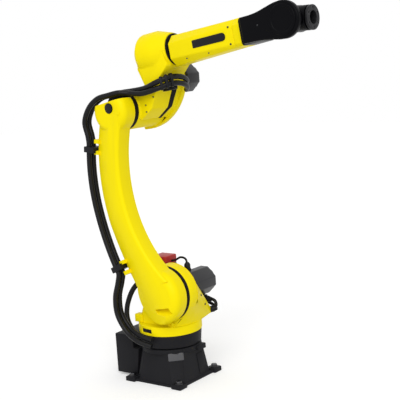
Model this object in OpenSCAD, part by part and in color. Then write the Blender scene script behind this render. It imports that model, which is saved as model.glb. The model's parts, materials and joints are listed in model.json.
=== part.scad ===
// Six-axis floor-mounted industrial robot arm, millimetres.
// Origin on the first axis at floor level, +X forward, +Y away from the arm casting, +Z up.

/* [Reach] */
// shoulder axis ahead of the first axis
j2_off = 75; // [50:5:120]
// shoulder axis above the floor
j2_h = 425; // [400:5:480]
// shoulder axis to elbow axis
arm_len = 840; // [700:10:1000]
// elbow axis to forearm axis
elbow_off = 215; // [190:5:240]
// elbow axis to wrist bend axis, along the forearm
fore_len = 890; // [800:10:1100]
// wrist bend axis to the tool flange face
flange_len = 90; // [85:1:110]

/* [Rest pose] */
// backward lean of the lower arm, degrees
arm_lean = 12.5; // [0:0.5:25]
// rise of the forearm above level, degrees
fore_tilt = 8.5; // [0:0.5:20]
// bend of the wrist below the forearm line, degrees
wrist_bend = 7.5; // [0:0.5:20]

/* [Base] */
// half width of the foot square
foot_half = 160; // [150:5:190]
// thickness of the foot lugs
foot_h = 22; // [16:1:30]
// half spacing of the floor bolts
bolt_half = 135; // [120:5:150]
// floor bolt hole radius
bolt_r = 9; // [6:0.5:12]
// top of the base casting above the floor
base_h = 164; // [150:2:190]
// half width of the casting at the floor
base_low = 138; // [125:1:150]
// half width of the casting at the top
base_top = 118; // [105:1:130]
// half width across the cut corners at the floor
corner_low = 166; // [150:1:190]
// half width across the cut corners at the top
corner_top = 134; // [120:1:150]
// depth of the rear connector box
panel_d = 92; // [60:2:100]
// half width of the rear connector box
panel_half = 100; // [80:2:120]
// height of the rear connector box
panel_h = 200; // [180:2:220]

/* [Swivel] */
// radius of the round swivel flange
turn_r = 146; // [140:1:160]
// underside of the swivel flange above the floor
turn_z = 228; // [222:1:240]
// thickness of the swivel flange
turn_t = 44; // [35:1:55]
// radius of the shoulder drum
drum_r = 127; // [120:1:135]
// near face of the shoulder drum, distance from the middle plane
drum_near = 97; // [90:1:100]
// far face of the shoulder drum, distance from the middle plane
drum_far = 40; // [30:1:60]
// half size of a square motor cover
motor_half = 63; // [55:1:68]
// far end of the shoulder motor cover, distance from the middle plane
motor_end = 190; // [150:5:220]
// corner cut of a motor cover
motor_cut = 42; // [15:1:50]
// half size of the vertical motor
j1m_half = 43; // [35:1:50]
// height of the vertical motor over the swivel flange
j1m_len = 236; // [150:2:260]

/* [Lower arm] */
// inner face of the arm, distance from the middle plane
arm_near = 118; // [116:1:124]
// thickness of the arm
arm_t = 82; // [70:1:90]
// farthest rearward bow of the back edge
arm_back = 174; // [150:2:190]
// width of the arm at mid height
arm_w = 138; // [120:2:150]
// rear corner cut along the arm width
back_cut_w = 80; // [30:1:90]
// rear corner cut along the arm thickness
back_cut_t = 30; // [15:1:40]
// front corner cut
front_cut = 9; // [5:1:25]
// elbow end disc radius
j3_r = 92; // [80:1:100]
// flat top above the elbow axis
arm_top = 45; // [35:1:70]

/* [Elbow] */
// elbow drum radius
elbow_r = 88; // [75:1:95]
// near face of the elbow drum, distance from the middle plane
elbow_near = 90; // [80:1:94]
// far end of the elbow drum, distance from the middle plane
elbow_far = 95; // [85:1:120]
// thickness of the motor plate on the far side of the elbow
plate_far_t = 30; // [20:1:40]
// length of the elbow motor cover
motor_len = 90; // [80:2:120]
// largest barrel radius
barrel_r = 97; // [88:1:105]
// barrel radius at its front end
barrel_tip = 75; // [68:1:85]
// barrel back end ahead of the elbow axis
barrel_s0 = 110; // [100:1:140]
// barrel front end ahead of the elbow axis
barrel_s1 = 277; // [260:1:290]

/* [Forearm and wrist] */
// top of the forearm above its axis
fore_up = 58; // [50:1:70]
// bottom of the forearm below its axis at the back
fore_down = 76; // [60:1:85]
// half width of the forearm at the back
fore_hw = 66; // [60:1:75]
// half width and bottom of the forearm at the wrist shell
fore_tip = 60; // [50:1:66]
// joint line between forearm and its front collar
collar_s = 630; // [560:2:660]
// joint line between collar and wrist shell
shell_s = 666; // [620:2:700]
// wrist disc radius
wrist_r = 76; // [70:1:90]
// tool flange radius
flange_r = 50; // [46:1:56]
// hollow of the tool flange, radius
hollow_r = 27; // [20:1:30]
// tool bolt circle diameter
tool_pcd = 78; // [70:1:88]
// tool bolt hole radius
tool_hole = 3; // [2:0.5:4]

/* [Hoses] */
// outer radius of a hose
hose_r = 12; // [8:1:16]
// spacing of the two hoses
hose_step = 28; // [28:1:36]
// hose middle line behind the arm
hose_back = 44; // [30:1:70]

/* [Hidden] */
$fn = 72;
// running gap round a hub
hub_gap = 0.5;
// gap between faces that turn past each other
face_gap = 6;
// sides of a hose
hose_n = 10;
eps = 0.01;
// how far a cut runs past what it cuts
over = 1;
// room round a piece set in or on another
seat_gap = 0.3;
// sides of the long bow curves
bow_n = 720;

fore_dir = [cos(fore_tilt), 0, sin(fore_tilt)];
fore_nrm = [-sin(fore_tilt), 0, cos(fore_tilt)];
j2_p = [j2_off, 0, j2_h];
j3_p = j2_p + arm_len * [-sin(arm_lean), 0, cos(arm_lean)];
j4_p = j3_p + elbow_off * fore_nrm;
j5_p = j4_p + fore_len * fore_dir;
tip_tilt = fore_tilt - wrist_bend;
turn_low = base_h + face_gap;
turn_top = turn_z + turn_t;

module ycyl(r, y0, y1) {
    translate([0, y0, 0]) rotate([-90, 0, 0]) cylinder(r = r, h = y1 - y0);
}

module xcyl(r, x0, x1) {
    translate([x0, 0, 0]) rotate([0, 90, 0]) cylinder(r = r, h = x1 - x0);
}

module xcone(r0, r1, x0, x1) {
    translate([x0, 0, 0]) rotate([0, 90, 0]) cylinder(r1 = r0, r2 = r1, h = x1 - x0);
}

// prism from an X-Z outline, between two distances from the middle plane
module side_prism(outline, y0, y1) {
    translate([0, y1, 0]) rotate([90, 0, 0]) linear_extrude(y1 - y0) polygon(outline);
}

// disc on the Y axis, rounded on its -Y rim
module ypuck(r, y0, y1, round_r) {
    h = y1 - y0;
    translate([0, y1, 0]) rotate([90, 0, 0]) rotate_extrude() {
        square([r - round_r, h]);
        square([r, h - round_r]);
        intersection() {
            translate([r - round_r, h - round_r]) circle(round_r);
            square([r, h]);
        }
    }
}

module at_arm() {
    translate(j2_p) rotate([0, -arm_lean, 0]) children();
}

module at_elbow() {
    translate(j3_p) rotate([0, -fore_tilt, 0]) children();
}

module at_fore() {
    translate(j4_p) rotate([0, -fore_tilt, 0]) children();
}

module at_wrist() {
    translate(j5_p) rotate([0, -tip_tilt, 0]) children();
}

// base: flared casting with cut corners, four bolt feet and a round bearing seat
base_bore = 96;
base_bore_d = 50;
seat_r = 138;
seat_t = 22;
foot_w = 54;
plate_t = 12;
plate_half = base_low + 8;
flare_h = base_h - seat_t / 2;
module flare_prism(low, top) {
    side_prism([[-low, 0], [low, 0], [top, flare_h], [-top, flare_h]], -2 * low, 2 * low);
}

module base_flare() {
    intersection() {
        flare_prism(base_low, base_top);
        rotate([0, 0, 90]) flare_prism(base_low, base_top);
        rotate([0, 0, 45]) flare_prism(corner_low, corner_top);
        rotate([0, 0, -45]) flare_prism(corner_low, corner_top);
    }
}

module base_casting() color("dimgray") {
    foot_p = foot_half - foot_w / 2;
    difference() {
        union() {
            base_flare();
            translate([-plate_half, -plate_half, 0]) cube([2 * plate_half, 2 * plate_half, plate_t]);
            for (sx = [-1, 1]) for (sy = [-1, 1])
                translate([sx * foot_p, sy * foot_p, 0]) linear_extrude(foot_h) square(foot_w, center = true);
            translate([0, 0, base_h - seat_t]) cylinder(r = seat_r, h = seat_t);
        }
        translate([0, 0, base_h - base_bore_d]) cylinder(r = base_bore + hub_gap, h = base_bore_d + over);
        for (sx = [-1, 1]) for (sy = [-1, 1])
            translate([sx * bolt_half, sy * bolt_half, -over]) cylinder(r = bolt_r, h = base_h);
    }
}

// connector box bolted on the back of the base
panel_z0 = plate_t + seat_gap;
panel_x = -base_low - 28;
panel_step = base_h - seat_t - 2;
function flare_x(z) = base_low - (base_low - base_top) * z / flare_h;
module connector_box() color("dimgray") {
    side_prism([[panel_x - panel_d, panel_z0], [-flare_x(panel_z0) - seat_gap, panel_z0],
        [-flare_x(panel_step) - seat_gap, panel_step], [-turn_r - face_gap, panel_step],
        [-turn_r - face_gap, panel_h], [panel_x - panel_d, panel_h]], -panel_half, panel_half);
}

cover_t = 5;
cover_rim = 8;
module connector_cover() color("gray") {
    translate([panel_x - panel_d - cover_t, cover_rim - panel_half, panel_z0 + cover_rim])
        cube([cover_t, 2 * (panel_half - cover_rim), panel_h - panel_z0 - 2 * cover_rim]);
}

// turning ring and its hub
ring_low = 8;
ring_high = 3;
module turret_ring() color("dimgray") {
    translate([0, 0, turn_low])
        cylinder(r1 = turn_r - ring_low, r2 = turn_r - ring_high, h = turn_z - turn_low);
    translate([0, 0, base_h - base_bore_d + face_gap])
        cylinder(r = base_bore, h = turn_low - base_h + base_bore_d);
}

// swivel: flange, shoulder drum and the sloping body that carries the motors
hub_r = 62;
hub_in = 70;
bore_room = 2;
j1m_x = -66;
j1m_y = 66;
j1m_z = turn_top + 6;
nose_p = [126, 128, turn_top + 14];
nose_r = 16;
nose_h = 14;
body_n = 32;
drum_in = 3;
rim_in = 8;
module swivel_body() {
    hull() {
        translate(j2_p) ycyl(drum_r - drum_in, -drum_near + rim_in, -drum_far, $fn = body_n);
        translate([0, 0, turn_top - rim_in]) cylinder(r = turn_r - rim_in, h = rim_in, $fn = body_n);
        translate(nose_p) cylinder(r = nose_r, h = nose_h, $fn = body_n);
    }
}

recess_w = 62;
recess_h = 18;
recess_d = 10;
recess_a = -101;
recess_z = turn_z + 12;
module at_recess() {
    rotate([0, 0, recess_a]) translate([turn_r - recess_d, -recess_w / 2, recess_z]) children();
}

module swivel_casting() color("gold") {
    difference() {
        union() {
            translate([0, 0, turn_z]) cylinder(r = turn_r, h = turn_t);
            intersection() {
                union() {
                    translate(j2_p) ycyl(drum_r, -drum_near, -drum_far);
                    swivel_body();
                }
                translate([-2 * turn_r, -drum_near, turn_z]) cube([4 * turn_r, 4 * turn_r, j2_h + drum_r]);
            }
        }
        translate(j2_p) ycyl(hub_r + hub_gap, -drum_near - over, bore_room - hub_in);
        translate(j2_p) ycyl(drum_r + face_gap, -2 * turn_r, -drum_near - eps);
        translate(j2_p + [0, seat_gap - drum_far, 0]) motor_box(motor_end + drum_far, motor_half + seat_gap);
        translate([j1m_x - j1m_half - seat_gap, j1m_y - j1m_half - seat_gap, j1m_z])
            cube([2 * (j1m_half + seat_gap), 2 * (j1m_half + seat_gap), j2_h + drum_r]);
        at_recess() cube([turn_r, recess_w, recess_h]);
        stop_shape(seat_gap);
    }
}

// dark plate in the recess of the swivel flange
plate_in = 6;
module flange_plate() color("black") {
    at_recess() translate([seat_gap, seat_gap, seat_gap])
        cube([recess_d - plate_in, recess_w - 2 * seat_gap, recess_h - 2 * seat_gap]);
}

// stop block on the rear edge of the swivel flange
stop_p = [-104, -84];
stop_s = [46, 34, 36];
module stop_shape(grow) {
    translate([stop_p[0], stop_p[1], turn_top + seat_gap + stop_s[2] / 2])
        cube(stop_s + 2 * grow * [1, 1, 1], center = true);
}

module stop_block() color("gold") stop_shape(0);

seal_t = 15;
seal_in = 20;
module shoulder_seal() color("black") {
    translate(j2_p) difference() {
        ycyl(drum_r - seal_in, -drum_near - seal_t, -drum_near);
        ycyl(hub_r + hub_gap, -drum_near - seal_t - over, over - drum_near);
    }
}

// square motor cover along Y with cut corners
module motor_box(len, half) {
    cut_at = half * sqrt(2) - motor_cut / sqrt(2);
    rotate([-90, 0, 0]) difference() {
        translate([-half, -half, 0]) cube([2 * half, 2 * half, len]);
        for (a = [0 : 90 : 270]) rotate([0, 0, a + 45])
            translate([cut_at, -half, -over]) cube([half, 2 * half, len + 2 * over]);
    }
}

motor_gap = 1;
module shoulder_motor_cover() color("dimgray") {
    translate(j2_p + [0, motor_gap - drum_far, 0]) motor_box(motor_end + drum_far - motor_gap, motor_half);
}

// plug housing under the far end of the shoulder motor
plug_w = 34;
plug_h = 30;
module motor_connector() color("black") {
    translate(j2_p + [0, motor_end - 2 * plug_w, -motor_half - plug_h - seat_gap])
        cube([plug_w, plug_w, plug_h]);
}

cap_t = 42;
module turning_motor() color("dimgray") {
    translate([j1m_x - j1m_half, j1m_y - j1m_half, j1m_z + seat_gap])
        cube([2 * j1m_half, 2 * j1m_half, j1m_len]);
}

module turning_motor_cap() color("red") {
    translate([j1m_x - j1m_half, j1m_y - j1m_half, j1m_z + 2 * seat_gap + j1m_len])
        cube([2 * j1m_half, 2 * j1m_half, cap_t]);
}

// lower arm: bowed casting, its edges cut back along the whole bow
arm_far = arm_near + arm_t;
arm_front = arm_back - arm_w;
bow_z = arm_len * 0.524;
back_r_hi = arm_len;
back_r_lo = arm_len * 1.488;
front_r_hi = arm_len * 0.833;
front_r_lo = arm_len * 0.714;
module bow_back(r) {
    translate([r - arm_back, 0, bow_z]) {
        ycyl(r, -arm_far + back_cut_t, -arm_near, $fn = bow_n);
        translate([0, -arm_far + back_cut_t, 0]) rotate([90, 0, 0])
            cylinder(r1 = r, r2 = r - back_cut_w, h = back_cut_t, $fn = bow_n);
    }
}

module bow_front(r) {
    translate([r - arm_front, 0, bow_z]) {
        ycyl(r, -arm_far - over, -arm_near + over, $fn = bow_n);
        translate([0, -arm_far + front_cut, 0]) rotate([90, 0, 0])
            cylinder(r1 = r, r2 = r + front_cut + over, h = front_cut + over, $fn = bow_n);
    }
}

module bow_part(z0, z1, x1, r_back, r_front) {
    difference() {
        intersection() {
            bow_back(r_back);
            translate([-2 * arm_back, -arm_far, z0]) cube([2 * arm_back + x1, arm_t, z1 - z0]);
        }
        bow_front(r_front);
    }
}

// flat facet that runs from the bow down over the outer rear of the shoulder end
facet_p = [23, -9];
facet_lean = 16.35;
facet_cut = 20;
module foot_facet() {
    translate([facet_p[0], -arm_far, facet_p[1]]) rotate([0, -facet_lean, 0]) rotate([0, 0, -facet_cut])
        translate([-arm_len, -arm_len, -arm_len / 2]) cube([arm_len, arm_len, arm_len]);
}

j3_hub_r = 52;
j3_hub_in = 150;
arm_foot = 60;
foot_round = 38;
head_round = 30;
head_step = 25;
head_z = arm_len - head_step;
module lower_arm() color("gold") at_arm() {
    difference() {
        union() {
            bow_part(arm_foot, bow_z, drum_r, back_r_lo, front_r_lo);
            bow_part(bow_z, head_z, j3_r, back_r_hi, front_r_hi);
            bow_part(head_z - eps, arm_len + arm_top, 0, back_r_hi, front_r_hi);
            ypuck(drum_r, -arm_far, -arm_near, foot_round);
            translate([0, 0, arm_len]) ypuck(j3_r, -arm_far, -arm_near, head_round);
            ycyl(hub_r, -arm_near - over, -hub_in);
        }
        translate([-arm_len, -2 * arm_far, arm_len + arm_top]) cube([2 * arm_len, 2 * arm_far, arm_len]);
        translate([0, 0, arm_len]) ycyl(j3_hub_r + hub_gap, -j3_hub_in - bore_room, -arm_near + over);
        foot_facet();
        plug_shape(seat_gap);
    }
}

// round plug in the outer face of the arm's top
plug_r = 22;
plug_p = [10, 16];
plug_turn = -9;
plug_in = 12;
plug_out = 3;
module plug_shape(grow) {
    translate([plug_p[0], -arm_far, arm_len + plug_p[1]]) rotate([0, 0, plug_turn])
        ycyl(plug_r + grow, -plug_out - grow * plug_r, plug_in + grow);
}

module arm_plug() color("black") at_arm() plug_shape(0);

// back edge of the arm at a height along the arm
function bow_at(z, r) = r - arm_back - sqrt(r * r - (z - bow_z) * (z - bow_z));
function bow_r(z) = z > bow_z ? back_r_hi : back_r_lo;
function bow_x(z) = bow_at(z, bow_r(z));
// turn of the back edge from the arm's own line at a height
function bow_turn(z) = asin((z - bow_z) / bow_r(z));
hose_y = arm_near + arm_t * 0.65;
function hose_pt(z, k) = [bow_x(z) - hose_back, -hose_y - (k - 0.5) * hose_step, z];
low_z = arm_len * 0.186;
high_z = arm_len * 0.845;

// bracket: foot on the arm and a block that holds both hoses
brk_h = 26;
brk_wall = 5;
brk_room = 1.5;
module hose_bracket(z) {
    brk_w = hose_step + 2 * (hose_r + brk_wall);
    brk_back = hose_r + brk_wall;
    brk_l = brk_back + hose_back * cos(bow_turn(z)) - seat_gap;
    at_arm() translate([bow_x(z) - hose_back, -hose_y, z]) rotate([0, bow_turn(z), 0]) difference() {
        translate([-brk_back, -brk_w / 2, -brk_h / 2]) cube([brk_l, brk_w, brk_h]);
        for (k = [0, 1]) translate([0, (k - 0.5) * hose_step, -brk_h])
            cylinder(r = hose_r + brk_room, h = 2 * brk_h);
    }
}

module hose_bracket_low() color("dimgray") hose_bracket(low_z);

module hose_bracket_high() color("dimgray") hose_bracket(high_z);

// elbow: drum on the elbow axis, neck, barrel and motor plate in one casting
fore_hub_r = 52;
fore_hub_d = 42;
neck_near = -80;
neck_low = elbow_off - 65;
motor_x = 143;
motor_z = 122;
barrel_back = 78;
barrel_rise = 18;
barrel_full = 75;
barrel_e = barrel_s0 + barrel_rise + barrel_full;
groove_w = 8;
groove_d = 8;
plate_big = 253;
plate_c = [-27, 153];
neck_edge = [[277, 150], [228, 108], [200, 62], [150, -20]];
neck_outline = concat([[80, -60], [40, 20], [62, 60], [138, 76], [barrel_s0, elbow_off - 54],
    [barrel_s0 + barrel_rise, elbow_off], [barrel_s1 - groove_w, elbow_off]], neck_edge);
plate_outline = [[-60, -110], [230, -110], [230, 60], [205, 130], [150, 175], [90, 160], [-50, 60]];
module elbow_barrel() {
    xcone(barrel_back, barrel_r, barrel_s0, barrel_s0 + barrel_rise);
    xcyl(barrel_r, barrel_s0 + barrel_rise, barrel_e);
    xcone(barrel_r, barrel_tip, barrel_e, barrel_s1);
}

module elbow_plate() {
    intersection() {
        translate([plate_c[0], 0, plate_c[1]])
            ycyl(plate_big, elbow_far, elbow_far + plate_far_t, $fn = bow_n);
        side_prism(plate_outline, elbow_far - eps, elbow_far + plate_far_t);
    }
}

module elbow_casting() color("gold") {
    difference() {
        union() {
            translate(j3_p) ycyl(elbow_r, -elbow_near, elbow_far + eps);
            translate(j3_p) ycyl(j3_hub_r, -j3_hub_in, over - elbow_near);
            at_fore() elbow_barrel();
            at_elbow() side_prism(neck_outline, neck_near, elbow_far + eps);
            at_elbow() elbow_plate();
        }
        at_fore() xcyl(fore_hub_r + hub_gap, barrel_s1 - fore_hub_d - bore_room, barrel_s1 + over);
    }
}

module elbow_seal() color("black") {
    translate(j3_p) difference() {
        ycyl(elbow_r - 2 * face_gap, face_gap - arm_near, -elbow_near);
        ycyl(j3_hub_r + hub_gap, -arm_near, over - elbow_near);
    }
}

module elbow_motor_cover() color("dimgray") {
    translate(j3_p + [motor_x, elbow_far + plate_far_t + seat_gap, motor_z]) motor_box(motor_len, motor_half);
}

rear_t = 6;
rear_in = 4;
module elbow_rear_cover() color("gold") {
    at_fore() xcyl(barrel_back - rear_in, barrel_s0 - rear_t, barrel_s0 - seat_gap);
}

lip_t = 9;
lip_in = 5;
module barrel_seal() color("black") {
    at_fore() difference() {
        xcyl(barrel_tip - lip_in, barrel_s1 + seat_gap, barrel_s1 + lip_t);
        xcyl(fore_hub_r + hub_gap, barrel_s1 - over, barrel_s1 + lip_t + over);
    }
}

// clamp on the front of the neck that holds the hoses
clamp_t0 = 10;
clamp_t1 = 52;
clamp_s = 250;
clamp_y = [-52, 8];
function neck_front(t) = neck_edge[3][0] + (neck_edge[2][0] - neck_edge[3][0])
    * (t - neck_edge[3][1]) / (neck_edge[2][1] - neck_edge[3][1]);
module hose_saddle() color("black") {
    at_elbow() side_prism([[neck_front(clamp_t0) + seat_gap, clamp_t0], [clamp_s, clamp_t0],
        [clamp_s, clamp_t1], [neck_front(clamp_t1) + seat_gap, clamp_t1]], clamp_y[0], clamp_y[1]);
}

// forearm: tapered box section with a round hub at the back
fore_s0 = barrel_s1 + lip_t + face_gap;
fore_round = 1.13;
module fore_box(s0, s1) {
    cut_r = (fore_up + fore_down) / 2 * fore_round;
    mid = (fore_up - fore_down) / 2;
    intersection() {
        side_prism([[fore_s0, -fore_down], [shell_s, -fore_tip], [shell_s, fore_up - over],
            [fore_s0, fore_up]], -fore_hw, fore_hw);
        translate([0, 0, -2 * fore_down]) linear_extrude(4 * fore_down)
            polygon([[fore_s0, -fore_hw], [shell_s, -fore_tip], [shell_s, fore_tip], [fore_s0, fore_hw]]);
        translate([s0, 0, mid]) rotate([0, 90, 0]) rotate([0, 0, 22.5])
            cylinder(r = cut_r, h = s1 - s0, $fn = 8);
    }
}

module forearm_casting() color("gold") at_fore() {
    fore_box(fore_s0, collar_s - seat_gap);
    xcyl(fore_hub_r, barrel_s1 - fore_hub_d, fore_s0 + over);
}

module forearm_collar() color("gold") at_fore() fore_box(collar_s, shell_s - seat_gap);

// wrist shell: one-sided fork that carries the bending wrist
fork_near = 60;
fork_far = 90;
fork_s = fore_len - 120;
neck_up = 53;
neck_down = 60;
fork_wall = 20;
shell_n = 32;
j5_hub_r = 40;
j5_room = 8;
module wrist_shell() color("black") at_fore() {
    difference() {
        union() {
            hull() {
                translate([shell_s, -fore_tip, -fore_tip])
                    cube([fork_wall, 2 * fore_tip, fore_tip + neck_up]);
                translate([fork_s - fork_wall, -fork_far + face_gap, -neck_down])
                    cube([fork_wall, fork_far + fork_near - 3 * face_gap, neck_down + neck_up]);
            }
            hull() {
                translate([fore_len, 0, 0]) ycyl(wrist_r, -fork_far, -fork_near, $fn = 2 * shell_n);
                translate([fork_s - 2 * fork_wall, -fork_far + face_gap, -neck_down])
                    cube([2 * fork_wall, fork_far - fork_near - face_gap, neck_down + neck_up]);
            }
        }
        translate([fore_len, 0, 0]) ycyl(j5_hub_r + hub_gap, -fork_far + j5_room, -fork_near + over);
    }
}

// wrist block: bends on the wrist axis, holds the flange bearing
block_r = 54;
block_in = 2;
block_face = flange_len - 16;
flange_hub_r = 36;
flange_hub_d = 28;
module wrist_block() color("dimgray") at_wrist() {
    difference() {
        union() {
            ycyl(block_r, -fork_near + face_gap, block_r - block_in);
            ycyl(j5_hub_r, -fork_far + j5_room + bore_room, -fork_near + face_gap + over);
            xcyl(block_r - 2 * block_in, 0, block_face);
        }
        xcyl(flange_hub_r + hub_gap, block_face - flange_hub_d - bore_room, block_face + over);
        xcyl(hollow_r, 0, block_face);
    }
}

cap_in = 8;
module wrist_cap() color("black") at_wrist() {
    ycyl(block_r - cap_in, block_r - block_in, block_r + face_gap);
}

module tool_flange() color("silver") at_wrist() {
    difference() {
        union() {
            xcyl(flange_r, block_face + face_gap, flange_len);
            xcyl(flange_hub_r, block_face - flange_hub_d, block_face + face_gap + over);
        }
        xcyl(hollow_r, block_face - 2 * flange_hub_d, flange_len + over);
        for (a = [0 : 60 : 300]) rotate([a, 0, 0]) translate([0, 0, tool_pcd / 2])
            xcyl(tool_hole, block_face + face_gap + bore_room, flange_len + over);
    }
}

// hose sweeps: a ring of points at each station, turned to the path
function unit(v) = v / norm(v);
function path_dir(p, i) = unit(p[min(i + 1, len(p) - 1)] - p[max(i - 1, 0)]);
function side_of(d) = unit(cross(d, abs(d[1]) > 0.8 ? [1, 0, 0] : [0, 1, 0]));
function hose_ring(c, d, n, r) = [for (k = [0 : hose_n - 1])
    c + r * cos(360 * k / hose_n) * n + r * sin(360 * k / hose_n) * cross(d, n)];
// side direction carried along the path without twist
function carried(p, i, n) = let (d = path_dir(p, i)) unit(n - d * (n * d));
function sides_from(p, i, n) = i == len(p) ? []
    : let (m = carried(p, i, n)) concat([m], sides_from(p, i + 1, m));
function spline(p0, p1, p2, p3, t) = 0.5 * ((2 * p1) + (p2 - p0) * t
    + (2 * p0 - 5 * p1 + 4 * p2 - p3) * t * t + (3 * p1 - p0 - 3 * p2 + p3) * t * t * t);
function smooth(p, m) = [for (i = [0 : len(p) - 2]) for (k = [0 : m - 1])
        spline(p[max(i - 1, 0)], p[i], p[i + 1], p[min(i + 2, len(p) - 1)], k / m),
    p[len(p) - 1]];

module hose(path, r) {
    n = len(path);
    normals = sides_from(path, 0, side_of(path_dir(path, 0)));
    pts = [for (i = [0 : n - 1]) each hose_ring(path[i], path_dir(path, i), normals[i], r)];
    sides = [for (i = [0 : n - 2]) for (k = [0 : hose_n - 1])
        [i * hose_n + k, i * hose_n + (k + 1) % hose_n,
            (i + 1) * hose_n + (k + 1) % hose_n, (i + 1) * hose_n + k]];
    first = [for (k = [hose_n - 1 : -1 : 0]) k];
    last = [for (k = [0 : hose_n - 1]) (n - 1) * hose_n + k];
    polyhedron(points = pts, faces = concat([first], sides, [last]), convexity = 6);
}

// a point of the arm's or the elbow's own frame in the frame of the part
function arm_pt(p) = j2_p + [p[0] * cos(arm_lean) - p[2] * sin(arm_lean), p[1],
    p[0] * sin(arm_lean) + p[2] * cos(arm_lean)];
function elbow_pt(s, y, t) = j3_p + s * fore_dir + t * fore_nrm + [0, y, 0];
hose_end = 1;
hose_stub = 6;
arm_steps = 9;
// a point of hose k at a bracket, moved along the back edge
function bracket_pt(z, k, d) = arm_pt(hose_pt(z, k) + d * [sin(bow_turn(z)), 0, cos(bow_turn(z))]);
function hose_arm_path(k) = [for (i = [0 : arm_steps])
    arm_pt(hose_pt(low_z + (high_z - low_z) * i / arm_steps, k))];
// offset of hose k of the pair, turned about the path
function pair(k, a) = (k - 0.5) * hose_step * [0, -cos(a), -sin(a)];
function hose_low_pts(k) = [bracket_pt(low_z, k, -brk_h), j2_p + [-214, -hose_y, 44] + pair(k, 0),
    j2_p + [-235, -hose_y, -24] + pair(k, 0), j2_p + [-230, -hose_y, -104] + pair(k, 0),
    j2_p + [-182, -hose_y, -174] + pair(k, 15), j2_p + [-116, -hose_y - 4, -206] + pair(k, 40),
    j2_p + [-52, -hose_y + 2, -220] + pair(k, 75)];
function hose_high_pts(k) = [bracket_pt(high_z, k, brk_h), j3_p + [-142, -hose_y, -104] + pair(k, 0),
    j3_p + [-154, -hose_y, -42] + pair(k, 0), j3_p + [-122, -hose_y, 20] + pair(k, 0),
    j3_p + [-74, -hose_y + 6, 59] + pair(k, 0), j3_p + [-20, -hose_y + 18, 73] + pair(k, 0),
    j3_p + [30, -hose_y + 34, 82] + pair(k, 0), elbow_pt(84, -115, 70) + pair(k, 20),
    elbow_pt(150, -108, 64) + pair(k, 50), elbow_pt(222, -98, 75) + pair(k, 90),
    elbow_pt(266, -54, 86) + pair(k, 90), elbow_pt(276, 10, 80) + pair(k, 90),
    elbow_pt(262, 58, 66) + pair(k, 90), elbow_pt(236, 84, 54) + pair(k, 90)];
branch_r = drum_r + hose_end;
branch_y = -62;
branch_a = 25;
function branch_at(r) = j2_p + [-r * cos(branch_a), branch_y, r * sin(branch_a)];
branch_pts = [branch_at(branch_r + hose_stub), branch_at(branch_r + 2 * hose_stub), j2_p + [-164, -66, 46],
    j2_p + [-216, -86, -10], j2_p + [-240, -106, -90], j2_p + [-224, -120, -156],
    j2_p + [-160, -132, -214]];

module hose_low() color("black") {
    for (k = [0, 1]) hose(concat([bracket_pt(low_z, k, -hose_end)], smooth(hose_low_pts(k), 2)), hose_r);
}

module hose_branch() color("black") {
    hose(concat([branch_at(branch_r)], smooth(branch_pts, 3)), hose_r);
}

module hose_arm() color("black") {
    for (k = [0, 1]) hose(hose_arm_path(k), hose_r);
}

module hose_high() color("black") {
    for (k = [0, 1]) hose(concat([bracket_pt(high_z, k, hose_end)], smooth(hose_high_pts(k), 3)), hose_r);
}

base_casting();
connector_box();
connector_cover();
turret_ring();
swivel_casting();
flange_plate();
stop_block();
shoulder_seal();
shoulder_motor_cover();
motor_connector();
turning_motor();
turning_motor_cap();
lower_arm();
arm_plug();
hose_bracket_low();
hose_bracket_high();
elbow_casting();
elbow_seal();
elbow_motor_cover();
elbow_rear_cover();
hose_saddle();
barrel_seal();
forearm_casting();
forearm_collar();
wrist_shell();
wrist_block();
wrist_cap();
tool_flange();
hose_low();
hose_branch();
hose_arm();
hose_high();
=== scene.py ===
import bpy
import json
import math
from mathutils import Matrix, Vector

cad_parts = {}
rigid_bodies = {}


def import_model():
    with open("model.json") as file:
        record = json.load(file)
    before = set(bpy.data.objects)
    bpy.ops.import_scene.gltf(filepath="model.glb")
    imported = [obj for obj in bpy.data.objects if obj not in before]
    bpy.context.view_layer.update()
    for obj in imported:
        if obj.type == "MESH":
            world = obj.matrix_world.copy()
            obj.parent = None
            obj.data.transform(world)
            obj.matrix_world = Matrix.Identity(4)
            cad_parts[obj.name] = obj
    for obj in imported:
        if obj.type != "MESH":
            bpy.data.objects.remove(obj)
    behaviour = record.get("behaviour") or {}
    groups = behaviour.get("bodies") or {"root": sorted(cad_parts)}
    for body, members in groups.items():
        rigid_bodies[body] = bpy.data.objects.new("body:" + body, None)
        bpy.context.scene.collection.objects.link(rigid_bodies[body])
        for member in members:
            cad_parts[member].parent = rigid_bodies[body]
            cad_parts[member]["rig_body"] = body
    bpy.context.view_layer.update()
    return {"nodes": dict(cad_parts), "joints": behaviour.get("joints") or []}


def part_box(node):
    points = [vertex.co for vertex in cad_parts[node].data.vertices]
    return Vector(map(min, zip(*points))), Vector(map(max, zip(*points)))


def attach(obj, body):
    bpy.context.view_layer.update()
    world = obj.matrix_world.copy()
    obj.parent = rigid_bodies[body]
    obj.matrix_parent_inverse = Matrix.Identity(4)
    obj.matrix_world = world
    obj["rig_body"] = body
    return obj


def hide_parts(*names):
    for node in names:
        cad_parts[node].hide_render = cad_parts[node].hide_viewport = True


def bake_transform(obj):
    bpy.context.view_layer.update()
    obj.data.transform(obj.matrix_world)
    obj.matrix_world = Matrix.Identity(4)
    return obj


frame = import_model()


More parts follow.
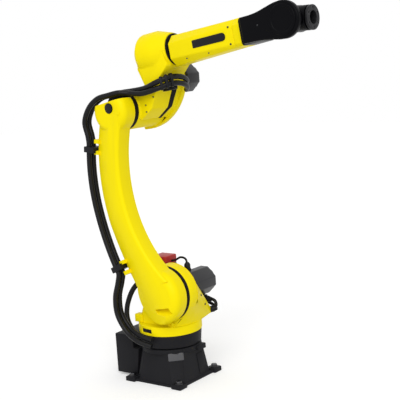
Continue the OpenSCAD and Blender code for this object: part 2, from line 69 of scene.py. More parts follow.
# Base casting: the flared black iron foot that is bolted to the floor.
# Cast in one piece, machined under its feet and at the bearing seat, then sprayed
# semi-matt black, so its edges are soft and the paint has a fine orange peel.
class Shade:
    """A socket of a material's nodes; sums and products with it add Math nodes."""

    def __init__(self, tree, socket=None):
        self.tree = tree
        self.socket = socket

    def node(self, kind, settings=None, inputs=None, output=0):
        made = self.tree.nodes.new(kind)
        for key, value in (settings or {}).items():
            setattr(made, key, value)
        for key, value in (inputs or {}).items():
            if isinstance(value, Shade):
                self.tree.links.new(value.socket, made.inputs[key])
            else:
                made.inputs[key].default_value = value
        return Shade(self.tree, made.outputs[output])

    def maths(self, operation, a, b):
        return self.node("ShaderNodeMath", {"operation": operation}, {0: a, 1: b})

    def __add__(self, other):
        return self.maths("ADD", self, other)

    def __radd__(self, other):
        return self.maths("ADD", other, self)

    def __mul__(self, other):
        return self.maths("MULTIPLY", self, other)

    def __rmul__(self, other):
        return self.maths("MULTIPLY", other, self)


def coat(name, light, dark, rough, metal=0.0, peel=0.12, grain=420.0, shine=0.2, patch=9.0):
    """A sprayed or moulded surface: two close tones in soft patches, a fine peel and uneven gloss."""
    material = bpy.data.materials.new(name)
    material.use_nodes = True
    tree = material.node_tree
    shader = tree.nodes["Principled BSDF"]
    shade = Shade(tree)
    place = shade.node("ShaderNodeTexCoord", output=3)
    cloud = shade.node("ShaderNodeTexNoise", {}, {"Vector": place, "Scale": patch, "Detail": 4.0})
    fine = shade.node("ShaderNodeTexNoise", {}, {"Vector": place, "Scale": grain, "Detail": 2.0})
    tone = shade.node("ShaderNodeMix", {"data_type": "RGBA"}, {0: cloud, 6: dark, 7: light}, output=2)
    gloss = rough - 0.06 + cloud * 0.08 + fine * 0.04
    bump = shade.node("ShaderNodeBump", {}, {"Strength": peel, "Distance": 0.0006, "Height": fine})
    tree.links.new(tone.socket, shader.inputs["Base Color"])
    tree.links.new(gloss.socket, shader.inputs["Roughness"])
    tree.links.new(bump.socket, shader.inputs["Normal"])
    shader.inputs["Metallic"].default_value = metal
    shader.inputs["Specular IOR Level"].default_value = shine
    return material


def alone(piece):
    """Leaves edit mode and selects this piece only."""
    if bpy.context.mode != "OBJECT":
        bpy.ops.object.mode_set(mode="OBJECT")
    bpy.ops.object.select_all(action="DESELECT")
    piece.select_set(True)
    bpy.context.view_layer.objects.active = piece


def dress(piece, material, body):
    """Gives a finished piece its material and the body that carries it."""
    piece.data.materials.clear()
    piece.data.materials.append(material)
    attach(piece, body)


def soften(name, material, width, steps=3, sharp=28.0, pockets=()):
    """A CAD node's own mesh, welded, its edges rounded over and pockets milled out of it."""
    cad = frame["nodes"][name]
    piece = bpy.data.objects.new(name + "_finished", cad.data.copy())
    bpy.context.scene.collection.objects.link(piece)
    alone(piece)
    bpy.ops.mesh.customdata_custom_splitnormals_clear()
    bpy.ops.object.mode_set(mode="EDIT")
    bpy.ops.mesh.select_all(action="SELECT")
    bpy.ops.mesh.remove_doubles(threshold=0.00002)
    bpy.ops.mesh.dissolve_limited(angle_limit=math.radians(0.2))
    bpy.ops.object.mode_set(mode="OBJECT")
    edge = piece.modifiers.new("edge", "BEVEL")
    edge.width = width
    edge.segments = steps
    edge.limit_method = "ANGLE"
    edge.angle_limit = math.radians(sharp)
    edge.use_clamp_overlap = False
    edge.miter_outer = "MITER_ARC"
    bpy.ops.object.modifier_apply(modifier="edge")
    for point in piece.data.vertices:
        on_cad = cad.closest_point_on_mesh(point.co)[1]
        if (point.co - on_cad).length > width / 2:
            point.co = on_cad
    for pocket in pockets:
        cut = piece.modifiers.new("pocket", "BOOLEAN")
        cut.operation = "DIFFERENCE"
        cut.object = pocket
        bpy.ops.object.modifier_apply(modifier="pocket")
        bpy.data.objects.remove(pocket)
    bpy.ops.object.shade_smooth_by_angle(angle=math.radians(sharp + 4))
    dress(piece, material, cad["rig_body"])
    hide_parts(name)


black_paint = coat("black_paint", (0.016, 0.016, 0.018, 1), (0.01, 0.01, 0.012, 1), 0.5, shine=0.08)
soften("base_casting", black_paint, 0.004)


# Fittings of the base: a raised pad on the near cut corner, a flat hatch on the front face
# and a stop ear beside the bearing seat. All are iron and painted with the base; the pad is a lighter grey.
def block(name, low, high):
    """A cube drawn out between two corners, ready to be shaped."""
    bpy.ops.object.select_all(action="DESELECT")
    bpy.ops.mesh.primitive_cube_add(size=1)
    piece = bpy.context.object
    piece.name = name
    piece.location = (Vector(low) + Vector(high)) / 2
    piece.scale = Vector(high) - Vector(low)
    bpy.ops.object.transform_apply(location=True, rotation=True, scale=True)
    return piece


def choose(piece, test):
    """Selects, in edit mode, the faces whose centre and normal pass the test."""
    alone(piece)
    bpy.ops.object.mode_set(mode="EDIT")
    bpy.ops.mesh.select_mode(type="FACE")
    bpy.ops.mesh.select_all(action="DESELECT")
    bpy.ops.object.mode_set(mode="OBJECT")
    for face in piece.data.polygons:
        face.select = test(face.center, face.normal)
    bpy.ops.object.mode_set(mode="EDIT")


def round_edges(piece, width, steps, test):
    """Rounds over the edges whose middle and direction pass the test."""
    alone(piece)
    bpy.ops.object.mode_set(mode="EDIT")
    bpy.ops.mesh.select_mode(type="EDGE")
    bpy.ops.mesh.select_all(action="DESELECT")
    bpy.ops.object.mode_set(mode="OBJECT")
    points = piece.data.vertices
    for edge in piece.data.edges:
        a, b = (points[i].co for i in edge.vertices)
        edge.select = test((a + b) / 2, (b - a).normalized())
    bpy.ops.object.mode_set(mode="EDIT")
    bpy.ops.mesh.bevel(offset=width, segments=steps, affect="EDGES")
    bpy.ops.object.mode_set(mode="OBJECT")


def fit(piece, place, material, body):
    """Sets a shaped piece in its place on the robot and finishes it."""
    piece.data.transform(place)
    alone(piece)
    bpy.ops.object.mode_set(mode="EDIT")
    bpy.ops.mesh.select_all(action="SELECT")
    bpy.ops.mesh.normals_make_consistent(inside=False)
    bpy.ops.object.mode_set(mode="OBJECT")
    bpy.ops.object.shade_smooth_by_angle(angle=math.radians(32))
    dress(piece, material, body)


def every_edge(middle, direction):
    return True


def facing(origin, outward, upward=(0, 0, 1)):
    """A place whose Z looks outward and whose Y leans upward."""
    z_axis = Vector(outward).normalized()
    x_axis = Vector(upward).cross(z_axis).normalized()
    turn = Matrix((x_axis, z_axis.cross(x_axis), z_axis)).transposed().to_4x4()
    return Matrix.Translation(origin) @ turn


pad_high = 0.131
pad_out = 0.1386
pad_lean = math.radians(11.8)
pad_flat = math.cos(pad_lean) / math.sqrt(2)
pad_grey = coat("light_grey_pad_paint", (0.1, 0.1, 0.108, 1), (0.07, 0.07, 0.075, 1), 0.55)
corner_pad = block("corner_pad", (-0.035, -0.017, -0.002), (0.035, 0.017, 0.0018))
round_edges(corner_pad, 0.004, 4, lambda middle, way: abs(way.z) > 0.9)
round_edges(corner_pad, 0.0007, 2, lambda middle, way: middle.z > 0.001)
fit(corner_pad, facing((pad_out / math.sqrt(2), -pad_out / math.sqrt(2), pad_high),
    (pad_flat, -pad_flat, math.sin(pad_lean))), pad_grey, "base")
front_lean = (0.99, 0, 0.13)
hatch_at = (0.1291, 0.045, 0.068)
hatch = block("side_hatch", (-0.024, -0.048, -0.002), (0.024, 0.048, 0.003))
round_edges(hatch, 0.006, 3, lambda middle, way: abs(way.z) > 0.9)
round_edges(hatch, 0.001, 2, lambda middle, way: middle.z > 0.002)
fit(hatch, facing(hatch_at, front_lean), black_paint, "base")
ear = block("stop_ear", (0.112, 0.004, 0.138), (0.15, 0.066, 0.161))
round_edges(ear, 0.007, 3, lambda middle, way: middle.x > 0.13 and abs(way.y) < 0.9)
round_edges(ear, 0.002, 2, lambda middle, way: middle.z > 0.16)
fit(ear, Matrix.Identity(4), black_paint, "base")


# Connector box on the back of the base: a folded black steel box with a screwed cover.
# The cover carries two heavy rectangular plug hoods, a round signal socket and an air fitting.
# The base's four hexagon floor bolts with their washers are turned here too.
def screw_heads(name, seats, radius, body):
    """Socket-head screws, one at each seat, which is a point and the way the head looks."""
    bpy.ops.object.select_all(action="DESELECT")
    bpy.ops.mesh.primitive_cylinder_add(vertices=18, radius=radius, depth=radius)
    first = bpy.context.object
    choose(first, lambda centre, normal: normal.z > 0.9)
    bpy.ops.mesh.bevel(offset=radius * 0.14, segments=2)
    choose(first, lambda centre, normal: normal.z > 0.9)
    bpy.ops.mesh.inset(thickness=radius * 0.36)
    bpy.ops.mesh.extrude_region_move(TRANSFORM_OT_translate={"value": (0, 0, -radius * 0.5)})
    bpy.ops.object.mode_set(mode="OBJECT")
    copies = []
    for point, outward in seats:
        copy = bpy.data.objects.new(name, first.data.copy())
        bpy.context.scene.collection.objects.link(copy)
        turn = Vector(outward).to_track_quat("Z", "Y").to_matrix().to_4x4()
        copy.data.transform(Matrix.Translation(point) @ turn)
        copies.append(copy)
    bpy.data.objects.remove(first)
    bpy.ops.object.select_all(action="DESELECT")
    for copy in copies:
        copy.select_set(True)
    bpy.context.view_layer.objects.active = copies[0]
    bpy.ops.object.join()
    piece = bpy.context.object
    bpy.ops.object.shade_smooth_by_angle(angle=math.radians(32))
    dress(piece, screw_steel, body)


screw_steel = coat("screw_steel", (0.09, 0.09, 0.095, 1), (0.05, 0.05, 0.055, 1), 0.35,
    metal=0.9, grain=900.0)
soften("connector_box", black_paint, 0.003)
soften("connector_cover", black_paint, 0.0012)
cover_low, cover_high = (Vector(corner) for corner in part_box("connector_cover"))
cover_back = cover_low.x
cover_inset = 0.009
screw_heads("cover_screws", [((cover_back, y, z), (-1, 0, 0))
    for y in (cover_low.y + cover_inset, 0, cover_high.y - cover_inset)
    for z in (cover_low.z + cover_inset, cover_high.z - cover_inset)], 0.0045, "base")

black_plastic = coat("black_plastic", (0.014, 0.014, 0.016, 1), (0.009, 0.009, 0.011, 1), 0.42,
    peel=0.08, grain=700.0, shine=0.12)
hood_size = (0.030, 0.042)
for side in (-1, 1):
    hood = block("plug_hood", (-hood_size[0], -hood_size[1] / 2, 0), (hood_size[0], hood_size[1] / 2, 0.016))
    round_edges(hood, 0.005, 3, lambda middle, way: abs(way.z) > 0.9)
    choose(hood, lambda centre, normal: normal.z > 0.9)
    bpy.ops.mesh.inset(thickness=0.005)
    bpy.ops.mesh.extrude_region_move(TRANSFORM_OT_translate={"value": (0, 0, -0.008)})
    bpy.ops.object.mode_set(mode="OBJECT")
    fit(hood, facing((cover_back, side * 0.042, 0.125), (-1, 0, 0)), black_plastic, "base")


def turned(name, rings, sides=40):
    """A round piece built up from its rings: each is a radius and a height, bottom first."""
    bpy.ops.object.select_all(action="DESELECT")
    bpy.ops.mesh.primitive_circle_add(vertices=sides, radius=rings[0][0], fill_type="NGON",
        location=(0, 0, rings[0][1]))
    piece = bpy.context.object
    piece.name = name
    bpy.ops.object.transform_apply(location=True, rotation=True, scale=True)
    choose(piece, lambda centre, normal: True)
    for (r0, h0), (r1, h1) in zip(rings, rings[1:]):
        bpy.ops.mesh.extrude_region_move(TRANSFORM_OT_translate={"value": (0, 0, h1 - h0)})
        bpy.ops.transform.resize(value=(r1 / r0, r1 / r0, 1), center_override=(0, 0, h1))
    bpy.ops.object.mode_set(mode="OBJECT")
    return piece


foot_high = 0.022
bolt_at = 0.135
for x in (-bolt_at, bolt_at):
    for y in (-bolt_at, bolt_at):
        washer = turned("foot_washer", [(0.019, 0), (0.019, 0.0026), (0.0182, 0.0032), (0.002, 0.0032)])
        fit(washer, Matrix.Translation((x, y, foot_high)), screw_steel, "base")
        head = turned("foot_bolt", [(0.0138, 0), (0.0138, 0.0088), (0.0125, 0.0102), (0.002, 0.0102)], 6)
        fit(head, Matrix.Translation((x, y, foot_high + 0.0032)), screw_steel, "base")

signal_socket = turned("signal_socket", [(0.021, 0), (0.021, 0.006), (0.016, 0.0075), (0.016, 0.017),
    (0.0145, 0.018), (0.012, 0.018), (0.012, 0.008), (0.002, 0.008)])
fit(signal_socket, facing((cover_back, -0.042, 0.062), (-1, 0, 0)), screw_steel, "base")
air_fitting = turned("air_fitting", [(0.011, 0), (0.011, 0.007), (0.007, 0.009), (0.007, 0.016),
    (0.005, 0.0165), (0.004, 0.0165), (0.004, 0.006), (0.001, 0.006)], 24)
fit(air_fitting, facing((cover_back, 0.03, 0.062), (-1, 0, 0)), screw_steel, "base")


# Turning ring: the black cone of the first axis' gearbox housing between base and swivel.
# Turned iron, painted with the base, with a dark running gap under it.
soften("turret_ring", black_paint, 0.002)


# Swivel casting: the yellow aluminium casting that turns on the base, with the round flange,
# the shoulder drum and the sloping body that carries both motors. Sprayed with satin yellow enamel.
yellow_light = (0.95, 0.785, 0.002, 1)
yellow_dark = (0.915, 0.75, 0.002, 1)
yellow_paint = coat("yellow_paint", yellow_light, yellow_dark, 0.4, peel=0.1, shine=0.06)
soften("swivel_casting", yellow_paint, 0.004, 3, 24)
soften("stop_block", yellow_paint, 0.003)
soften("flange_plate", black_plastic, 0.001)
screw_heads("swivel_screws", [((0.1817, 0.0084, 0.4014), (0.92, 0.37, 0.09)),
    ((0.1679, 0.052, 0.3472), (0.96, 0.25, -0.1))], 0.005, "swivel")
boss = turned("lifting_boss", [(0.015, -0.002), (0.015, 0.008), (0.0135, 0.0095), (0.006, 0.0095),
    (0.0055, 0.004), (0.001, 0.004)])
fit(boss, facing((0.0878, -0.097, 0.2836), (0, -1, 0)), yellow_paint, "swivel")


# Shoulder seal: the black lip ring that closes the gap behind the lower arm.
# Moulded rubber, pressed on the drum's face.
seal_rubber = coat("seal_rubber", (0.01, 0.01, 0.011, 1), (0.006, 0.006, 0.007, 1), 0.7,
    peel=0.2, grain=600.0, shine=0.08)
shoulder_lip = turned("shoulder_lip", [(0.125, -0.0005), (0.125, 0.012), (0.123, 0.0145), (0.066, 0.0145),
    (0.064, 0.012), (0.064, 0)], 96)
shoulder_place = facing((0.075, -0.097, 0.425), (0, -1, 0))
fit(shoulder_lip, shoulder_place, seal_rubber, "swivel")
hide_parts("shoulder_seal")


# Shoulder motor: the square black cover on the far side of the shoulder with its end plate,
# four long screws, the plug housing under it and the short lead that loops into the swivel.
def cable(name, routes, radius, material):
    """Round leads through given points, drawn as one smooth curve each."""
    drawing = bpy.data.curves.new(name, "CURVE")
    drawing.dimensions = "3D"
    drawing.bevel_depth = radius
    drawing.bevel_resolution = 5
    drawing.use_fill_caps = True
    for route in routes:
        points = [Vector(point) for point in route]
        ends = [2 * points[0] - points[1]] + points + [2 * points[-1] - points[-2]]
        smooth = []
        for a, b, c, d in zip(ends, ends[1:], ends[2:], ends[3:]):
            for step in range(8):
                t = step / 8
                smooth.append(0.5 * (2 * b + (c - a) * t + (2 * a - 5 * b + 4 * c - d) * t ** 2
                    + (3 * b - a - 3 * c + d) * t ** 3))
        smooth.append(points[-1])
        line = drawing.splines.new("POLY")
        line.points.add(len(smooth) - 1)
        for knot, place in zip(line.points, smooth):
            knot.co = (*place, 1)
    piece = bpy.data.objects.new(name, drawing)
    bpy.context.scene.collection.objects.link(piece)
    alone(piece)
    bpy.ops.object.convert(target="MESH")
    piece = bpy.context.object
    bpy.ops.object.shade_smooth_by_angle(angle=math.radians(50))
    piece.data.materials.clear()
    piece.data.materials.append(material)
    return piece


def motor_end(low, high, plate_name, screws_name, body):
    """The plate on a motor cover's far end, with a screw at each of its corners."""
    half, thick, screw_at = 0.05, 0.004, 0.036
    middle = (low + high) / 2
    plate = block(plate_name, (-half, -half, -0.001), (half, half, thick))
    round_edges(plate, 0.03, 4, lambda middle, way: abs(way.z) > 0.9)
    round_edges(plate, 0.001, 2, lambda middle, way: middle.z > 0.003)
    fit(plate, facing((middle.x, high.y, middle.z), (0, 1, 0)), motor_grey, body)
    screw_heads(screws_name, [((middle.x + x, high.y + thick, middle.z + z), (0, 1, 0))
        for x in (-screw_at, screw_at) for z in (-screw_at, screw_at)], 0.005, body)


pin = {joint["name"]: Vector(joint["pos_m"]) for joint in frame["joints"]}
motor_grey = coat("motor_enamel", (0.034, 0.034, 0.037, 1), (0.024, 0.024, 0.027, 1), 0.4,
    peel=0.1, shine=0.2)
soften("shoulder_motor_cover", motor_grey, 0.004)
motor_low, motor_high = (Vector(corner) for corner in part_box("shoulder_motor_cover"))
motor_end(motor_low, motor_high, "motor_end_plate", "motor_end_screws", "swivel")
soften("motor_connector", black_plastic, 0.003)
plug_high = Vector(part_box("motor_connector")[1])
hose_rubber = coat("hose_rubber", (0.01, 0.01, 0.011, 1), (0.006, 0.006, 0.007, 1), 0.36,
    peel=0.12, grain=500.0, shine=0.16)
plug_mouth = (plug_high.x, 0.14, 0.345)
lead = cable("motor_lead", [
    [(plug_high.x - 0.002, 0.14, 0.345), (0.138, 0.142, 0.346), (0.158, 0.143, 0.338),
        (0.163, 0.142, 0.318), (0.15, 0.138, 0.303), (0.128, 0.132, 0.296)],
    [(0.09, 0.15, 0.34), (0.105, 0.158, 0.326), (0.13, 0.16, 0.316), (0.148, 0.152, 0.308),
        (0.132, 0.134, 0.29)]], 0.0075, hose_rubber)
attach(lead, "swivel")
for spot, outward in ((plug_mouth, (1, 0, 0)), ((0.138, 0.134, 0.299), (0.9, 0.3, 0.25))):
    shell = turned("lead_plug", [(0.015, -0.004), (0.015, 0.014), (0.013, 0.018), (0.0105, 0.03),
        (0.007, 0.031)], 28)
    fit(shell, facing(spot, outward), black_plastic, "swivel")


# Turning motor: the upright square servo motor behind the shoulder, with its red cap.
# Black anodised body with a joint line, the cap moulded in red plastic; a round plug takes its lead.
soften("turning_motor", motor_grey, 0.003)
red_plastic = coat("red_plastic", (0.45, 0.03, 0.025, 1), (0.38, 0.024, 0.02, 1), 0.4, peel=0.06, grain=700.0)
soften("turning_motor_cap", red_plastic, 0.005)
cap_high = Vector(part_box("turning_motor_cap")[1])
round_plug = turned("round_plug", [(0.017, 0), (0.017, 0.008), (0.0145, 0.01), (0.0145, 0.028),
    (0.012, 0.032), (0.008, 0.038), (0.001, 0.039)])
fit(round_plug, Matrix.Translation((0.055, 0.085, motor_high.z)), black_plastic, "swivel")
cap_lead = cable("cap_lead", [[(cap_high.x - 0.003, 0.07, 0.53), (cap_high.x + 0.022, 0.074, 0.536),
    (0.022, 0.08, 0.548), (0.046, 0.085, 0.542), (0.055, 0.085, 0.522)]], 0.005, hose_rubber)
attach(cap_lead, "swivel")


# Lower arm: the bowed yellow casting between shoulder and elbow, its outer edges cut back.
# Cast aluminium with soft edges, sprayed with the swivel; a black plug closes its upper bore.
def leaning(at, towards):
    """The frame of a limb: Z along it for an arm, X along it for the forearm."""
    return Matrix.Translation(at) @ Matrix.Rotation(-towards, 4, "Y")


reach = pin["elbow"] - pin["shoulder"]
arm_place = leaning(pin["shoulder"], math.atan2(-reach.x, reach.z))
pocket = block("hub_pocket", (-0.022, -0.23, -0.086), (0.072, -0.15, -0.052))
choose(pocket, lambda centre, normal: normal.z < -0.9)
bpy.ops.transform.translate(value=(0.012, -0.045, 0))
bpy.ops.object.mode_set(mode="OBJECT")
pocket.data.transform(arm_place)
soften("lower_arm", yellow_paint, 0.004, 3, 30, [pocket])
soften("arm_plug", black_plastic, 0.0015)
soften("hose_bracket_low", black_plastic, 0.0015)
soften("hose_bracket_high", black_plastic, 0.0015)
bow_mid = 0.524 * reach.length
bow_back = 0.174
bow_high = reach.length
bow_low = 1.488 * reach.length
held_low, held_high = 0.186 * reach.length, 0.845 * reach.length


def bow_edge(z):
    """Place of the arm's back edge at a height, and its turn there."""
    radius = bow_high if z > bow_mid else bow_low
    turn = math.asin((z - bow_mid) / radius)
    return radius - bow_back - radius * math.cos(turn), turn


for held in (held_low, held_high):
    for step in (-0.024, 0.024):
        x, turn = bow_edge(held + step)
        lug = block("bracket_lug", (-0.015, -0.02, -0.009), (0.014, 0.02, 0.009))
        round_edges(lug, 0.005, 3, lambda middle, way: middle.x < -0.01 and abs(way.x) < 0.5)
        fit(lug, arm_place @ Matrix.Translation((x, -0.165, held + step)) @ Matrix.Rotation(turn, 4, "Y"),
            yellow_paint, "arm")


# Elbow: the yellow casting that swings on the lower arm's top, with drum, neck, barrel and motor plate.
# One aluminium casting with a pressed rear cover; black seals close both of its bearings.
soften("elbow_casting", yellow_paint, 0.005, 4, 26)
soften("elbow_rear_cover", yellow_paint, 0.002)
elbow_lip = turned("elbow_lip", [(0.087, -0.0005), (0.087, 0.018), (0.085, 0.0205), (0.056, 0.0205),
    (0.054, 0.018), (0.054, 0)], 96)
drum_face = Vector((0, -0.09, 0))
fit(elbow_lip, facing(pin["elbow"] + drum_face, (0, -1, 0)), seal_rubber, "elbow")
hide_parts("elbow_seal")
soften("barrel_seal", seal_rubber, 0.0015)
run = pin["wrist_bend"] - pin["forearm_roll"]
fore_tilt = math.atan2(run.z, run.x)
elbow_place = leaning(pin["elbow"], fore_tilt)
saddle = block("hose_clamp_stem", (0.19, -0.03, 0.046), (0.254, 0.0, 0.068))
round_edges(saddle, 0.004, 3, every_edge)
fit(saddle, elbow_place, black_plastic, "elbow")
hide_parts("hose_saddle")
strap_seats = (((0.2375, -0.088, 0.079), 38), ((0.2535, -0.072, 0.0835), 48), ((0.2665, -0.053, 0.086), 60))
for at, turn in strap_seats:
    strap = block("hose_strap", (-0.006, -0.016, -0.0305), (0.006, 0.016, 0.0305))
    round_edges(strap, 0.0125, 5, lambda middle, way: abs(way.x) > 0.9)
    round_edges(strap, 0.0025, 3, lambda middle, way: abs(middle.x) > 0.005)
    fit(strap, elbow_place @ Matrix.Translation(at) @ Matrix.Rotation(math.radians(turn), 4, "Z"),
        black_plastic, "elbow")
screw_heads("elbow_screws", [((0.0138, -0.08, 1.265), (0, -1, 0)), ((0.0162, -0.08, 1.2355), (0, -1, 0)),
    ((0.0597, -0.08, 1.3004), (0, -1, 0))], 0.004, "elbow")


def flat_piece(name, outline, thick, rim):
    """A plate cut to an outline in its X-Y plane, with rounded rims, made a mesh."""
    drawing = bpy.data.curves.new(name, "CURVE")
    drawing.dimensions = "2D"
    drawing.fill_mode = "BOTH"
    drawing.extrude = thick / 2 - rim
    drawing.bevel_depth = rim
    drawing.bevel_resolution = 3
    drawing.offset = -rim
    line = drawing.splines.new("POLY")
    line.points.add(len(outline) - 1)
    for knot, (x, y) in zip(line.points, outline):
        knot.co = (x, y, 0, 1)
    line.use_cyclic_u = True
    piece = bpy.data.objects.new(name, drawing)
    bpy.context.scene.collection.objects.link(piece)
    alone(piece)
    bpy.ops.object.convert(target="MESH")
    piece = bpy.context.object
    bpy.ops.object.mode_set(mode="EDIT")
    bpy.ops.mesh.select_all(action="SELECT")
    bpy.ops.mesh.remove_doubles(threshold=0.00005)
    bpy.ops.object.mode_set(mode="OBJECT")
    return piece


on_edge = Matrix.Rotation(math.radians(90), 4, "X")
# Painted shadow: a thin sheet of the dark seal rubber lies in the curved gap between the elbow's drum and its
# web and stands for the shade in that gap.
gap_shadow_outline = [(0.2015, 0.062), (0.1515, -0.02), (0.0815, -0.0605), (0.07, -0.045), (0.13, -0.012),
    (0.175, 0.062)]
gap_shadow = flat_piece("gap_shadow_sheet", gap_shadow_outline, 0.036, 0.0006)
gap_shadow_low, gap_shadow_high = 0.07, 0.2015
for point in gap_shadow.data.vertices:
    point.co.z *= 0.5 + 0.5 * (point.co.x - gap_shadow_low) / (gap_shadow_high - gap_shadow_low)
fit(gap_shadow, elbow_place @ Matrix.Translation((0, 0.05, 0)) @ on_edge, seal_rubber, "elbow")
soften("elbow_motor_cover", motor_grey, 0.004)
elbow_low, elbow_high = (Vector(corner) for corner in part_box("elbow_motor_cover"))
motor_end(elbow_low, elbow_high, "elbow_motor_end", "elbow_motor_screws", "elbow")


# Forearm: the long yellow tapered casting that rolls in the barrel, and its bolted front collar.
# A bare black plate with a round end is riveted on the near side, and small screws close its lower cover.
fore_place = leaning(pin["forearm_roll"], fore_tilt)
fore_back, fore_front = 0.292, 0.666
wide_back, wide_front = 0.066, 0.06


def fore_side(s):
    """Half width of the forearm at a distance along it."""
    return wide_back + (wide_front - wide_back) * (s - fore_back) / (fore_front - fore_back)


def on_fore(s, side, t):
    return fore_place @ Vector((s, side * fore_side(s), t))


side_way = fore_place.to_3x3() @ Vector((0, 1, 0))
soften("forearm_casting", yellow_paint, 0.006, 4, 24)
soften("forearm_collar", yellow_paint, 0.003, 3, 24)
plate_from, plate_to = 0.42, 0.592
side_plate = block("side_plate", (plate_from, -fore_side(0.5) - 0.0022, -0.022), (plate_to, -0.055, 0.012))
round_edges(side_plate, 0.0165, 8, lambda middle, way: abs(way.y) > 0.9 and middle.x > 0.5)
round_edges(side_plate, 0.003, 3, lambda middle, way: abs(way.y) > 0.9 and middle.x < 0.43)
round_edges(side_plate, 0.0008, 2, lambda middle, way: middle.y < -0.06 and abs(way.y) < 0.5)
fit(side_plate, fore_place, black_plastic, "forearm")
screw_heads("collar_screws", [(on_fore(0.612, side, t), side * side_way)
    for side in (-1, 1) for t in (-0.042, 0.028)], 0.004, "forearm")
screw_heads("cover_row_screws", [(on_fore(s, side, -0.056), side * side_way)
    for side in (-1, 1) for s in (0.38, 0.496)], 0.003, "forearm")


# Wrist: the black one-sided fork at the forearm's front, the bending block in it and the hollow flange.
# Machined aluminium, black anodised; round covers close the fork's belt side and the block.
wrist_black = coat("wrist_black", (0.003, 0.003, 0.004, 1), (0.0015, 0.0015, 0.0025, 1), 0.34,
    peel=0.06, shine=0.06)
neck = block("wrist_neck", (fore_front, -0.06, -0.06), (0.77, 0.06, 0.053))
choose(neck, lambda centre, normal: normal.x > 0.9)
bpy.ops.transform.translate(value=(0, -0.021, 0))
round_edges(neck, 0.016, 5, lambda middle, way: abs(way.x) > 0.9)
round_edges(neck, 0.01, 4, lambda middle, way: middle.x > 0.765)
fit(neck, fore_place, wrist_black, "forearm")
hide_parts("wrist_shell")
paddle_r = 0.076
round_end = [(run.length + paddle_r * math.cos(a), paddle_r * math.sin(a))
    for a in (math.radians(100 - 8 * k) for k in range(26))]
rise = [(0.69, 0.05), (0.735, 0.0505), (0.765, 0.053), (0.79, 0.0575), (0.815, 0.0635), (0.84, 0.0695),
    (0.86, 0.0735)]
fall = [(0.86, -0.0735), (0.835, -0.0685), (0.81, -0.064), (0.785, -0.061), (0.755, -0.0585), (0.69, -0.057)]
paddle = flat_piece("wrist_paddle", rise + round_end + fall, 0.03, 0.008)
fit(paddle, fore_place @ Matrix.Translation((0, -0.075, 0)) @ on_edge, wrist_black, "forearm")
soften("wrist_block", wrist_black, 0.002)
soften("wrist_cap", wrist_black, 0.0015)
flange_steel = coat("flange_steel", (0.03, 0.03, 0.032, 1), (0.02, 0.02, 0.022, 1), 0.36,
    metal=0.5, grain=900.0, shine=0.1)
soften("tool_flange", flange_steel, 0.0012)
fork_out = 0.09
cover_r = 0.062
fork_cover = turned("fork_cover", [(cover_r, -0.002), (cover_r, 0.002), (cover_r - 0.0015, 0.0032),
    (cover_r - 0.012, 0.0032), (cover_r - 0.014, 0.0018), (0.002, 0.0018)], 64)
fork_place = fore_place @ facing((run.length, -fork_out, 0), (0, -1, 0))
fit(fork_cover, fork_place, wrist_black, "forearm")
fork_way = fork_place.to_3x3() @ Vector((0, 0, 1))
neck_screw = fore_place @ Vector((0.774, -fork_out, 0.002))
screw_heads("fork_screw", [(neck_screw, fork_way)], 0.0036, "forearm")


# Hoses: the pair of black sheathed hoses that carry cables and air from the base up the back of the arm.
# Held by the low and high brackets and by straps on the elbow; they are drawn curving round the shoulder and
# over the elbow.
hose_r = 0.012
hose_step = 0.028
hose_side = 0.1713
hose_off = 0.044
stub = 0.026


def arm_hose(z, k, along=0.0):
    """A point of hose k behind the bowed arm, moved along the bow."""
    edge, turn = bow_edge(z)
    x = edge - hose_off
    y = -hose_side - (k - 0.5) * hose_step
    return arm_place @ Vector((x + along * math.sin(turn), y, z + along * math.cos(turn)))


def paired(point, k, angle):
    """The middle point of the pair, moved to hose k, with the pair turned about its path."""
    a = math.radians(angle)
    return point + (k - 0.5) * hose_step * Vector((0, -math.cos(a), -math.sin(a)))


low_route = [((-0.214, -hose_side, 0.044), 0), ((-0.235, -hose_side, -0.024), 0),
    ((-0.23, -hose_side, -0.104), 0), ((-0.182, -hose_side, -0.174), 15),
    ((-0.116, -hose_side - 0.004, -0.206), 40), ((-0.052, -hose_side + 0.002, -0.22), 75)]
high_route = [((-0.142, -hose_side, -0.104), 0), ((-0.154, -hose_side, -0.042), 0),
    ((-0.122, -hose_side, 0.02), 0),
    ((-0.074, -hose_side + 0.006, 0.059), 0), ((-0.02, -hose_side + 0.018, 0.073), 0),
    ((0.03, -hose_side + 0.034, 0.082), 0)]
elbow_route = [((0.084, -0.115, 0.07), 20), ((0.15, -0.108, 0.064), 50), ((0.222, -0.098, 0.075), 90),
    ((0.266, -0.054, 0.086), 90), ((0.276, 0.01, 0.08), 90), ((0.262, 0.058, 0.066), 90),
    ((0.236, 0.084, 0.054), 90)]
branch_route = [(-0.116, -0.062, 0.054), (-0.127, -0.062, 0.0592), (-0.164, -0.066, 0.046),
    (-0.216, -0.086, -0.01), (-0.24, -0.106, -0.09), (-0.224, -0.12, -0.156), (-0.16, -0.132, -0.214)]
hose_runs = 9

along_arm = cable("hoses_along_arm", [[arm_hose(held_low + (held_high - held_low) * i / hose_runs, k)
    for i in range(hose_runs + 1)] for k in (0, 1)], hose_r, hose_rubber)
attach(along_arm, "arm")
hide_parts("hose_arm")

below = cable("hoses_below", [[arm_hose(held_low, k), arm_hose(held_low, k, -stub)]
    + [paired(pin["shoulder"] + Vector(p), k, a) for p, a in low_route] for k in (0, 1)],
    hose_r, hose_rubber)
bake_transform(below)
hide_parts("hose_low")

above = cable("hoses_above", [[arm_hose(held_high, k), arm_hose(held_high, k, stub)]
    + [paired(pin["elbow"] + Vector(p), k, a) for p, a in high_route]
    + [paired(elbow_place @ Vector(p), k, a) for p, a in elbow_route] for k in (0, 1)],
    hose_r, hose_rubber)
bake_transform(above)
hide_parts("hose_high")

branch = cable("hose_branch_finished", [[pin["shoulder"] + Vector(p) for p in branch_route]],
    hose_r, hose_rubber)
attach(branch, "swivel")
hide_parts("hose_branch")


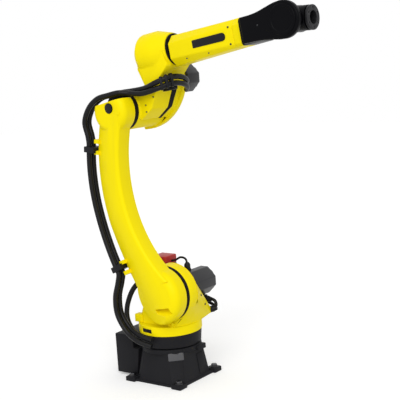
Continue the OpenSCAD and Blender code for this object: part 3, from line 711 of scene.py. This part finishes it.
# Studio: a plain pale floor that keeps a soft shadow, even white light all round and one broad
# soft lamp from the camera's right, and the camera where the photograph was taken from.
def see_white(shade):
    """1 where a ray comes from the camera, a reflection or glass."""
    rays = shade.tree.nodes.new("ShaderNodeLightPath")
    kinds = ("Is Camera Ray", "Is Glossy Ray", "Is Transmission Ray")
    ways = [Shade(shade.tree, rays.outputs[kind]) for kind in kinds]
    return shade.maths("MAXIMUM", shade.maths("MAXIMUM", ways[0], ways[1]), ways[2])


stage_scene = bpy.context.scene
fill_light = 0.62
floor_glow = 0.31
floor_half = 12.0
bpy.ops.object.select_all(action="DESELECT")
bpy.ops.mesh.primitive_plane_add(size=2 * floor_half, location=(0, 0, 0))
floor = bpy.context.object
floor.name = "studio_floor"
pale = bpy.data.materials.new("pale_floor")
pale.use_nodes = True
floor_shade = Shade(pale.node_tree)
matt = floor_shade.node("ShaderNodeBsdfDiffuse", {}, {"Color": (0.82, 0.82, 0.82, 1)})
glow = floor_shade.node("ShaderNodeEmission", {}, {"Strength": see_white(floor_shade) * floor_glow})
lit = floor_shade.node("ShaderNodeAddShader", {}, {0: matt, 1: glow})
pale.node_tree.links.new(lit.socket, pale.node_tree.nodes["Material Output"].inputs["Surface"])
floor.data.materials.append(pale)

sky = bpy.data.worlds.new("studio_light")
stage_scene.world = sky
sky.use_nodes = True
sky_shade = Shade(sky.node_tree)
back = sky_shade.node("ShaderNodeBackground", {}, {"Color": (1, 1, 1, 1),
    "Strength": fill_light + see_white(sky_shade) * (1 - fill_light)})
sky.node_tree.links.new(back.socket, sky.node_tree.nodes["World Output"].inputs["Surface"])

lamp = bpy.data.lights.new("soft_key", "SUN")
lamp.energy = 1.6
lamp.angle = math.radians(50)
key = bpy.data.objects.new("soft_key", lamp)
stage_scene.collection.objects.link(key)
key.matrix_world = Vector((0.45, -0.75, 0.62)).to_track_quat("Z", "Y").to_matrix().to_4x4()

view = bpy.data.cameras.new("photo_view")
view.sensor_width = 36
view.lens = 89.44
camera = bpy.data.objects.new("photo_view", view)
stage_scene.collection.objects.link(camera)
right = Vector((0.80265, 0.59296, -0.06445))
upward = Vector((-0.04039, 0.16184, 0.986))
camera.matrix_world = Matrix.Translation((2.8222, -3.4529, 1.5113)) @ Matrix(
    (right, upward, right.cross(upward))).transposed().to_4x4()
stage_scene.camera = camera
stage_scene.view_settings.view_transform = "Standard"
